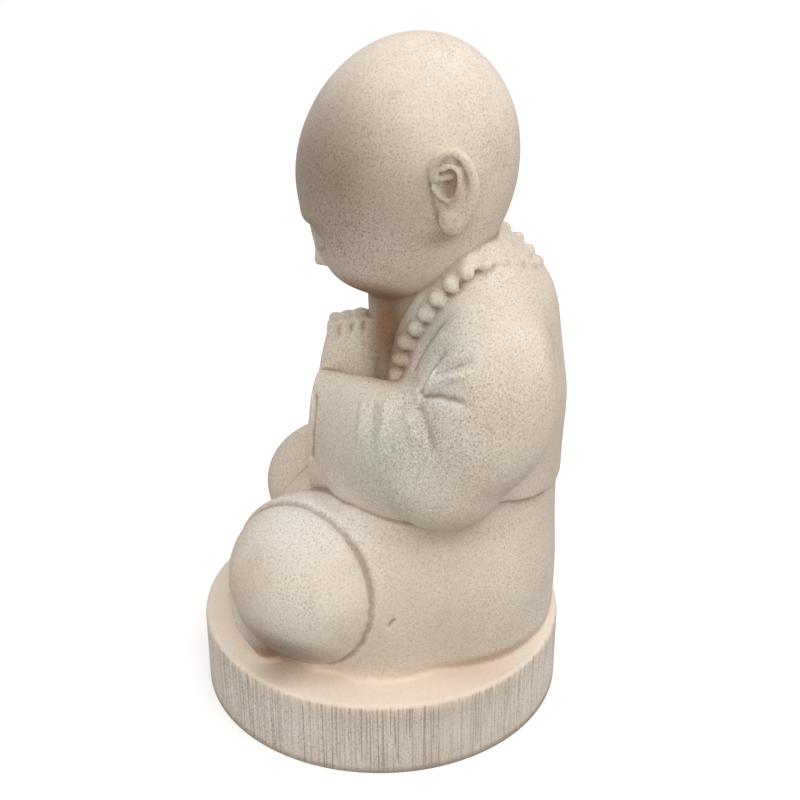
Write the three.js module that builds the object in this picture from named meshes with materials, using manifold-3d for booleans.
// A child monk who sits cross-legged with joined hands on a round combed plinth, cast in one piece of
// pale concrete. Sizes are millimetres and +Z is up. The figure faces -Y, so its left side is +X.
// The origin is the centre of the plinth's flat underside.
import * as THREE from "three";
import { mergeVertices } from "three/addons/utils/BufferGeometryUtils.js";
import Module from "manifold-3d";

const wasm = await Module();
wasm.setup();

const { degToRad } = THREE.MathUtils;
const LEFT = 1;
const RIGHT = -1;
const SIDES = [LEFT, RIGHT];

// Plinth
const PLINTH_RADIUS = 111.5;
const PLINTH_HEIGHT = 48;
const PLINTH_EDGE = 3; // rounding of its top edge
const FOOT_EDGE = 1.5; // rounding of its bottom edge
const STROKES = 38; // upright strokes in its side
const STROKE_DEPTH = 1.4;

// Body
const SEAT = PLINTH_HEIGHT - 2; // forms that stand on the plinth reach this far into it
const BACK = 109; // the back stands this far behind the plinth's axis
const HEM_HEIGHT = 143; // the jacket's lower edge
const CLOTH = 2.4; // how far the skirt's hem stands off the knee
const KNEE_HEADING = degToRad(36); // each knee points this far forward from straight sideways
const LEFT_KNEE = { at: [51, -34, 93], radii: [48, 55.5, 49], lean: degToRad(13), hem: 12.5, girth: 45 };
const RIGHT_KNEE = { at: [53, -40, 89], radii: [38, 42, 38.5], lean: degToRad(8), hem: 10, girth: 39 };

// Head
const HEAD_CENTRE = [0, 15, 329];
const HEAD_RADII = [57, 60.2, 74.6]; // across, through the face, and from the chin to the crown
const HEAD_TILT = degToRad(20); // the face looks down
const CROWN_LEAN = degToRad(38); // the crown lies this far behind the face's upright
const EYE_LEVEL = -8;
const NOSE_BASE = -27;
const MOUTH_LEVEL = -43;
const EYE_WIDTH = 22; // a fifth of the head's width

// Beads
const BEAD_RADIUS = 5.4;
const BEAD_GAP = 9.8; // from bead to bead along the string

const FORWARD = [0, -1, 0];
const UP = [0, 0, 1];
const vector = ([x, y, z]) => new THREE.Vector3(x, y, z);
const sideOf = (side, [x, y, z]) => [side * x, y, z];
const join = (forms) => forms.reduce((all, form) => all.add(form));

// A closed geometry as a solid that can be joined and cut
function solid(geometry) {
  const weld = 1e-3;
  const bare = geometry.index ? geometry.toNonIndexed() : geometry.clone();
  const positions = new THREE.BufferGeometry().setAttribute("position", bare.getAttribute("position"));
  const merged = mergeVertices(positions, weld);
  const mesh = new wasm.Mesh({
    numProp: 3,
    vertProperties: merged.attributes.position.array,
    triVerts: new Uint32Array(merged.index.array),
  });
  const made = new wasm.Manifold(mesh);
  if (made.volume() < 0) throw new Error("a form is inside out");
  return made;
}

// A ball pressed to three radii, turned about X, Y and Z, and moved to its place
function ball(at, radii, { turn = [0, 0, 0], around = 18, down = 10 } = {}) {
  const geometry = new THREE.SphereGeometry(1, around, down).rotateX(Math.PI / 2).scale(...radii);
  geometry.rotateX(turn[0]).rotateY(turn[1]).rotateZ(turn[2]).translate(...at);
  return solid(geometry);
}

// A rounded form along a spine. Each station has a place and its half width and half height there.
// The width lies across both the spine and "up". An end is a dome of the given length, or flat at 0.
function limb(stations, { up = UP, domes = [0, 0], caps = 3, around = 20, steps = 8, square = 2 } = {}) {
  const spine = new THREE.CatmullRomCurve3(stations.map(({ at }) => vector(at)));
  const sizes = new THREE.CatmullRomCurve3(stations.map(({ half }) => vector([...half, 0])));
  const slices = [];
  const addSlice = (t, ahead, scale) => slices.push({ t, ahead, scale });
  for (let i = caps; i > 0 && domes[0] > 0; i--) {
    const angle = ((i / (caps + 1)) * Math.PI) / 2;
    addSlice(0, -domes[0] * Math.sin(angle), Math.cos(angle));
  }
  for (let i = 0; i <= steps; i++) addSlice(i / steps, 0, 1);
  for (let i = 1; i <= caps && domes[1] > 0; i++) {
    const angle = ((i / (caps + 1)) * Math.PI) / 2;
    addSlice(1, domes[1] * Math.sin(angle), Math.cos(angle));
  }
  const rounded = (value) => Math.sign(value) * Math.abs(value) ** (2 / square);
  const positions = [];
  for (const { t, ahead, scale } of slices) {
    const tangent = spine.getTangent(t);
    const across = vector(up).cross(tangent).normalize();
    const top = tangent.clone().cross(across);
    const centre = spine.getPoint(t).addScaledVector(tangent, ahead);
    const size = sizes.getPoint(t).multiplyScalar(scale);
    for (let k = 0; k < around; k++) {
      const angle = (k / around) * 2 * Math.PI;
      const point = centre.clone().addScaledVector(across, size.x * rounded(Math.cos(angle)));
      positions.push(...point.addScaledVector(top, size.y * rounded(Math.sin(angle))));
    }
  }
  positions.push(...spine.getPoint(0).addScaledVector(spine.getTangent(0), -domes[0]));
  positions.push(...spine.getPoint(1).addScaledVector(spine.getTangent(1), domes[1]));
  const last = slices.length - 1;
  const startPole = slices.length * around;
  const index = [];
  for (let k = 0; k < around; k++) {
    const next = (k + 1) % around;
    index.push(startPole, next, k);
    for (let row = 0; row < last; row++) {
      const a = row * around + k;
      const b = row * around + next;
      index.push(a, b, b + around, a, b + around, a + around);
    }
    index.push(startPole + 1, last * around + k, last * around + next);
  }
  const geometry = new THREE.BufferGeometry();
  geometry.setAttribute("position", new THREE.Float32BufferAttribute(positions, 3));
  return solid(geometry.setIndex(index));
}

// A round fold, ridge or tool stroke that follows points
function cord(points, radius, { sides = 5, steps = 6 } = {}) {
  const extrudePath = new THREE.CatmullRomCurve3(points.map(vector));
  const circle = new THREE.Path().absarc(0, 0, radius, 0, 2 * Math.PI).getPoints(sides).slice(0, -1);
  return solid(new THREE.ExtrudeGeometry(new THREE.Shape(circle), { steps, bevelEnabled: false, extrudePath }));
}

// A block whose face passes through a point and looks along a direction: cutting with it keeps what lies behind
function block(through, looking) {
  const size = 400;
  const turn = new THREE.Quaternion().setFromUnitVectors(vector(UP), vector(looking).normalize());
  const box = new THREE.BoxGeometry(size, size, size).translate(0, 0, size / 2);
  return solid(box.applyQuaternion(turn).translate(...through));
}

// The plinth: a disc with softened edges, its side combed with upright strokes
function plinth() {
  const profile = [
    [0, 0],
    [PLINTH_RADIUS - FOOT_EDGE, 0],
    [PLINTH_RADIUS, FOOT_EDGE],
    [PLINTH_RADIUS, PLINTH_HEIGHT - PLINTH_EDGE - 1],
    [PLINTH_RADIUS - PLINTH_EDGE / 3, PLINTH_HEIGHT - PLINTH_EDGE / 3],
    [PLINTH_RADIUS - PLINTH_EDGE, PLINTH_HEIGHT],
    [0, PLINTH_HEIGHT],
  ].map(([radius, z]) => new THREE.Vector2(radius, z));
  const combedRows = [2, 3];
  const disc = new THREE.LatheGeometry(profile, 2 * STROKES).rotateX(Math.PI / 2);
  const position = disc.getAttribute("position");
  const inward = 1 - STROKE_DEPTH / PLINTH_RADIUS;
  for (let i = 0; i < position.count; i++) {
    const inStroke = Math.floor(i / profile.length) % 2 === 1;
    if (inStroke && combedRows.includes(i % profile.length))
      position.setXY(i, position.getX(i) * inward, position.getY(i) * inward);
  }
  return solid(disc);
}

// The skirt over the hips
function skirt() {
  const stations = [
    { at: [0, 40, SEAT], half: [74, BACK - 41] },
    { at: [0, 41, 72], half: [81, BACK - 41.5] },
    { at: [0, 43, 104], half: [81, BACK - 43.5] },
    { at: [0, 50, HEM_HEIGHT + 4], half: [63, BACK - 53] },
  ];
  return limb(stations, { up: [0, 1, 0], around: 24, steps: 4, square: 1.9 });
}

// The jacket over the back and chest, from its hem to the root of the neck
function jacket() {
  const stations = [
    { at: [0, 56, HEM_HEIGHT], half: [66, BACK - 57] },
    { at: [0, 57, 168], half: [67, BACK - 57.5] },
    { at: [0, 59, 205], half: [68, BACK - 58.5] },
    { at: [0, 62, 235], half: [68, BACK - 65.5] },
    { at: [0, 65, 256], half: [60, BACK - 72] },
    { at: [0, 66, 272], half: [48, BACK - 80] },
    { at: [0, 65, 285], half: [36, BACK - 87] },
  ];
  return limb(stations, { up: [0, 1, 0], around: 24, steps: 6 });
}

// A folded leg: the bare knee stands out of the skirt, whose hem is a step around it
function leg(side, { at, radii, lean, hem, girth }) {
  const [x, y, z] = at;
  const heading = side === LEFT ? -KNEE_HEADING : Math.PI + KNEE_HEADING;
  const turn = [0, -lean, heading];
  const out = [Math.cos(lean) * Math.cos(heading), Math.cos(lean) * Math.sin(heading), Math.sin(lean)];
  const stations = [
    { at: [side * (x - 6), 6, SEAT], half: [girth - 2, 40] },
    { at: [side * (x - 5), 6, 76], half: [girth + 1, 44] },
    { at: [side * (x - 8), 6, z + 8], half: [girth + 1, 48] },
  ];
  const domes = [0, radii[2] - 1];
  const thigh = limb(stations, { up: [0, 1, 0], domes, around: 20, steps: 2, square: 2.2 });
  const place = [side * x, y, z];
  const clothed = ball(place, radii.map((radius) => radius + CLOTH), { turn });
  const hemPoint = place.map((value, i) => value + hem * out[i]);
  return thigh.add(clothed).subtract(block(hemPoint, out)).add(ball(place, radii, { turn }));
}

// The shins cross in front, and the lap closes the space behind them
function shinsAndLap() {
  const front = [
    { at: [-60, -52, 68], half: [15, 20] },
    { at: [-28, -74, 67], half: [17, 20] },
    { at: [12, -77, 67], half: [17, 20] },
    { at: [46, -71, 66], half: [16, 19] },
    { at: [66, -60, 64], half: [14, 18] },
  ];
  const behind = [
    { at: [50, -52, 86], half: [18, 20] },
    { at: [20, -60, 90], half: [18, 20] },
    { at: [-18, -64, 82], half: [18, 20] },
    { at: [-50, -60, 68], half: [16, 18] },
  ];
  return join([
    limb(front, { domes: [8, 12], caps: 2, around: 10, steps: 6 }),
    limb(behind, { domes: [8, 8], caps: 2, around: 8, steps: 4 }),
    ball([0, -16, 92], [58, 52, 50], { around: 14, down: 8 }),
  ]);
}

// Shoulder and upper arm in its full sleeve
function upperArm(side) {
  const stations = [
    { at: [side * 42, 68, 256], half: [25, 30] },
    { at: [side * 54, 69, 232], half: [33, 38] },
    { at: [side * 58, 64, 202], half: [35, 41] },
    { at: [side * 60, 55, 177], half: [32, 37] },
  ];
  return limb(stations, { up: [0, 1, 0], domes: [12, 20], around: 16, steps: 5 });
}

// The forearm's hanging sleeve, cut at the cuff, with its mouth as a slot
function sleeve(side) {
  const stations = [
    { at: [side * 62, 54, 190], half: [26, 34] },
    { at: [side * 54, 24, 187], half: [27, 38] },
    { at: [side * 36, -4, 180], half: [24, 40] },
    { at: [side * 20, -26, 175], half: [15, 38] },
    { at: [side * 10, -46, 171], half: [9, 37] },
  ];
  const mouth = [
    { at: [side * 19, -22, 176], half: [4, 28] },
    { at: [side * 10, -50, 172], half: [5, 31] },
  ];
  return limb(stations, { domes: [16, 0], caps: 2, around: 14, steps: 6 })
    .subtract(block([side * 14, -33, 196], [side * -0.25, -0.98, 0.18]))
    .subtract(limb(mouth, { around: 10, steps: 1 }));
}

// Folds that run from the armpit up to the collar
function folds(side) {
  const ridges = [
    [[50, 15, 222], [41, 19, 234], [47, 31, 251], [54, 44, 265]],
    [[60, 22, 224], [58, 25, 238], [63, 38, 252], [66, 50, 262]],
  ];
  const path = (points) => points.map((point) => sideOf(side, point));
  return ridges.map((points) => cord(path(points), 2.8, { sides: 4, steps: 3 }));
}

// The crease in the bend of the elbow
function elbowCrease(side) {
  const points = [[66, 26, 226], [79, 40, 230], [87, 50, 230], [93, 61, 227]];
  return cord(points.map((point) => sideOf(side, point)), 2.6, { sides: 4, steps: 3 });
}

// One hand: four straight fingers and a thumb, held upright and leaning a little back
function hand(side) {
  const fingerWidth = 8.4;
  const tips = [243, 247, 249.5, 249];
  const slim = { up: [0, 1, 0], domes: [0, 3], caps: 1, around: 6, steps: 2 };
  const fingers = tips.map((tip, i) => {
    const foot = -33 + fingerWidth * i;
    const stations = [
      { at: [side * 5.2, foot, 190], half: [4.6, 4.5] },
      { at: [side * 4.9, foot + 4.5, 222], half: [4.4, 4.4] },
      { at: [side * 4.2, foot + 7.5, tip - 3], half: [3.9, 4] },
    ];
    return limb(stations, slim);
  });
  const thumb = [
    { at: [side * 7, -2, 205], half: [5, 5.5] },
    { at: [side * 5, 5, 222], half: [4.6, 5] },
    { at: [side * 4, 4, 236], half: [4, 4.2] },
  ];
  return join([...fingers, limb(thumb, slim)]);
}

// The point in front of the head's plain egg shape, seen at x and z of the face
function onEgg(x, z) {
  const [wide, deep, tall] = HEAD_RADII;
  const sine = Math.sin(CROWN_LEAN);
  const cosine = Math.cos(CROWN_LEAN);
  const a = (cosine / deep) ** 2 + (sine / tall) ** 2;
  const b = 2 * z * sine * cosine * (1 / tall ** 2 - 1 / deep ** 2);
  const c = (x / wide) ** 2 + z ** 2 * ((sine / deep) ** 2 + (cosine / tall) ** 2) - 1;
  const y = (-b - Math.sqrt(b * b - 4 * a * c)) / (2 * a);
  return vector([x, y, z]).applyAxisAngle(vector([1, 0, 0]), HEAD_TILT).add(vector(HEAD_CENTRE));
}

// Swellings and hollows that turn the egg into a child's face: full cheeks, set-in eyes and a soft chin
const FEATURES = [
  { at: onEgg(0, -24), reach: 42, rise: -7 },
  { at: onEgg(0, MOUTH_LEVEL + 2), reach: 13, rise: 2.5 },
  { at: onEgg(0, -57), reach: 11, rise: 4 },
  ...SIDES.map((side) => ({ at: onEgg(side * 30, -31), reach: 20, rise: 6 })),
  ...SIDES.map((side) => ({ at: onEgg(side * (EYE_WIDTH - 1), EYE_LEVEL + 1), reach: 13, rise: -3 })),
];

// A point of the egg after the face is shaped, pushed out by a further distance
function shaped(point, out = 0) {
  const swell = ({ at, reach, rise }) => rise * Math.exp(-point.distanceToSquared(at) / reach ** 2);
  const total = FEATURES.reduce((sum, feature) => sum + swell(feature), out);
  const ahead = vector(FORWARD).applyAxisAngle(vector([1, 0, 0]), HEAD_TILT);
  return point.clone().addScaledVector(ahead, total);
}

const onFace = (x, z, out = 0) => shaped(onEgg(x, z), out).toArray();

// The head without its features laid on
function skull() {
  const egg = new THREE.SphereGeometry(1, 24, 16).rotateX(Math.PI / 2).scale(...HEAD_RADII);
  egg.rotateX(HEAD_TILT - CROWN_LEAN).translate(...HEAD_CENTRE);
  const position = egg.getAttribute("position");
  for (let i = 0; i < position.count; i++)
    position.setXYZ(i, ...shaped(new THREE.Vector3().fromBufferAttribute(position, i)));
  return solid(egg);
}

// Nose, lips and closed lids, laid on the face by the usual thirds and fifths
function face() {
  const bridge = [
    { at: onFace(0, EYE_LEVEL, -3), half: [4, 3.5] },
    { at: onFace(0, EYE_LEVEL - 11, -1), half: [5.5, 4] },
    { at: onFace(0, NOSE_BASE, 1), half: [8.5, 5.5] },
  ];
  const nose = limb(bridge, { up: [0, 1, 0], domes: [3, 4], caps: 1, around: 8, steps: 2 });
  const line = (from, middle, to, radius) => cord([from, middle, to], radius, { sides: 4, steps: 4 });
  const lip = (level, half) => line(onFace(-half, level + 1, -2), onFace(0, level), onFace(half, level + 1, -2), 3);
  const lids = SIDES.map((side) => {
    const inner = onFace(side * 12, EYE_LEVEL, -1);
    const outer = onFace(side * (12 + EYE_WIDTH), EYE_LEVEL - 1, -1);
    return line(inner, onFace(side * (12 + EYE_WIDTH / 2), EYE_LEVEL - 5, -0.6), outer, 2);
  });
  return join([nose, lip(MOUTH_LEVEL + 2.5, 14), lip(MOUTH_LEVEL - 2, 11), ...lids]);
}

// The neck between the jaw and the collar
function neck() {
  const stations = [
    { at: [0, 46, 250], half: [34, 32] },
    { at: [0, 40, 292], half: [32, 32] },
  ];
  return limb(stations, { up: [0, 1, 0], around: 14, steps: 1 });
}

// An ear: a rimmed shell with a hollow and a long lobe
function ear(side) {
  const place = (point) => sideOf(side, point);
  const turn = [0.12, 0, side * -0.25];
  const shell = ball(place([54, 42, 334]), [6.5, 12, 21], { turn, around: 10, down: 7 });
  const lobe = ball(place([55, 42, 316]), [5, 7.5, 9], { around: 8, down: 6 });
  const edge = [[57, 31, 342], [59, 36, 353], [60.5, 45, 355], [60.5, 53, 346], [59, 54, 333], [57, 50, 321]];
  const rim = cord(edge.map(place), 2.7, { steps: 8, sides: 4 });
  const hollow = ball(place([63, 40, 335]), [7, 5, 8], { around: 8, down: 6 });
  return join([shell.subtract(hollow), lobe, rim]);
}

// The jacket's collar band, from one side of the chest round the neck to the other
function collar() {
  const half = (side) => [
    { at: [side * 12, -2, 205], half: [8, 6] },
    { at: [side * 21, 7, 228], half: [9, 6] },
    { at: [side * 30, 21, 252], half: [11, 7] },
    { at: [side * 37, 38, 271], half: [12, 8] },
    { at: [side * 38, 56, 282], half: [12, 8] },
    { at: [side * 26, 74, 284], half: [12, 8] },
  ];
  const nape = { at: [0, 82, 283], half: [12, 8] };
  const stations = [...half(LEFT), nape, ...half(RIGHT).reverse()];
  return limb(stations, { up: [0, 0.2, 1], around: 6, steps: 20 });
}

// A string of beads that lies outside the collar
function beads() {
  const half = (side) => [
    [side * 25, 7, 212],
    [side * 28, 11, 226],
    [side * 33, 17, 240],
    [side * 39, 25, 256],
    [side * 45, 34, 271],
    [side * 49, 45, 281],
    [side * 50, 58, 287],
    [side * 45, 71, 288],
    [side * 28, 88, 281],
  ];
  const nape = [0, 96, 275];
  const string = new THREE.CatmullRomCurve3([...half(LEFT), nape, ...half(RIGHT).reverse()].map(vector));
  const gaps = Math.round(string.getLength() / BEAD_GAP);
  const bead = (point) => solid(new THREE.IcosahedronGeometry(BEAD_RADIUS).translate(...point));
  return string.getSpacedPoints(gaps).map(bead);
}

const robed = join([
  plinth(),
  skirt(),
  jacket(),
  leg(LEFT, LEFT_KNEE),
  leg(RIGHT, RIGHT_KNEE),
  shinsAndLap(),
  ...SIDES.flatMap((side) => [upperArm(side), sleeve(side), ...folds(side)]),
]).subtract(join(SIDES.map(elbowCrease)));
const details = SIDES.flatMap((side) => [hand(side), ear(side)]);
const figure = join([robed, ...details, skull(), face(), neck(), collar(), ...beads()]);

// The finished solid as a three.js geometry
function geometryOf(form) {
  const { numProp, vertProperties, triVerts } = form.getMesh();
  const positions = [];
  for (let i = 0; i < vertProperties.length; i += numProp) positions.push(...vertProperties.slice(i, i + 3));
  const geometry = new THREE.BufferGeometry();
  geometry.setAttribute("position", new THREE.Float32BufferAttribute(positions, 3));
  geometry.setIndex([...triVerts]);
  geometry.computeVertexNormals();
  return geometry;
}

const castConcrete = new THREE.MeshStandardMaterial({ color: 0xd9cbb8, roughness: 0.95, metalness: 0 });
const statue = new THREE.Mesh(geometryOf(figure), castConcrete);
statue.name = "praying_monk_statue";

const part = new THREE.Group();
part.add(statue);
export default part;
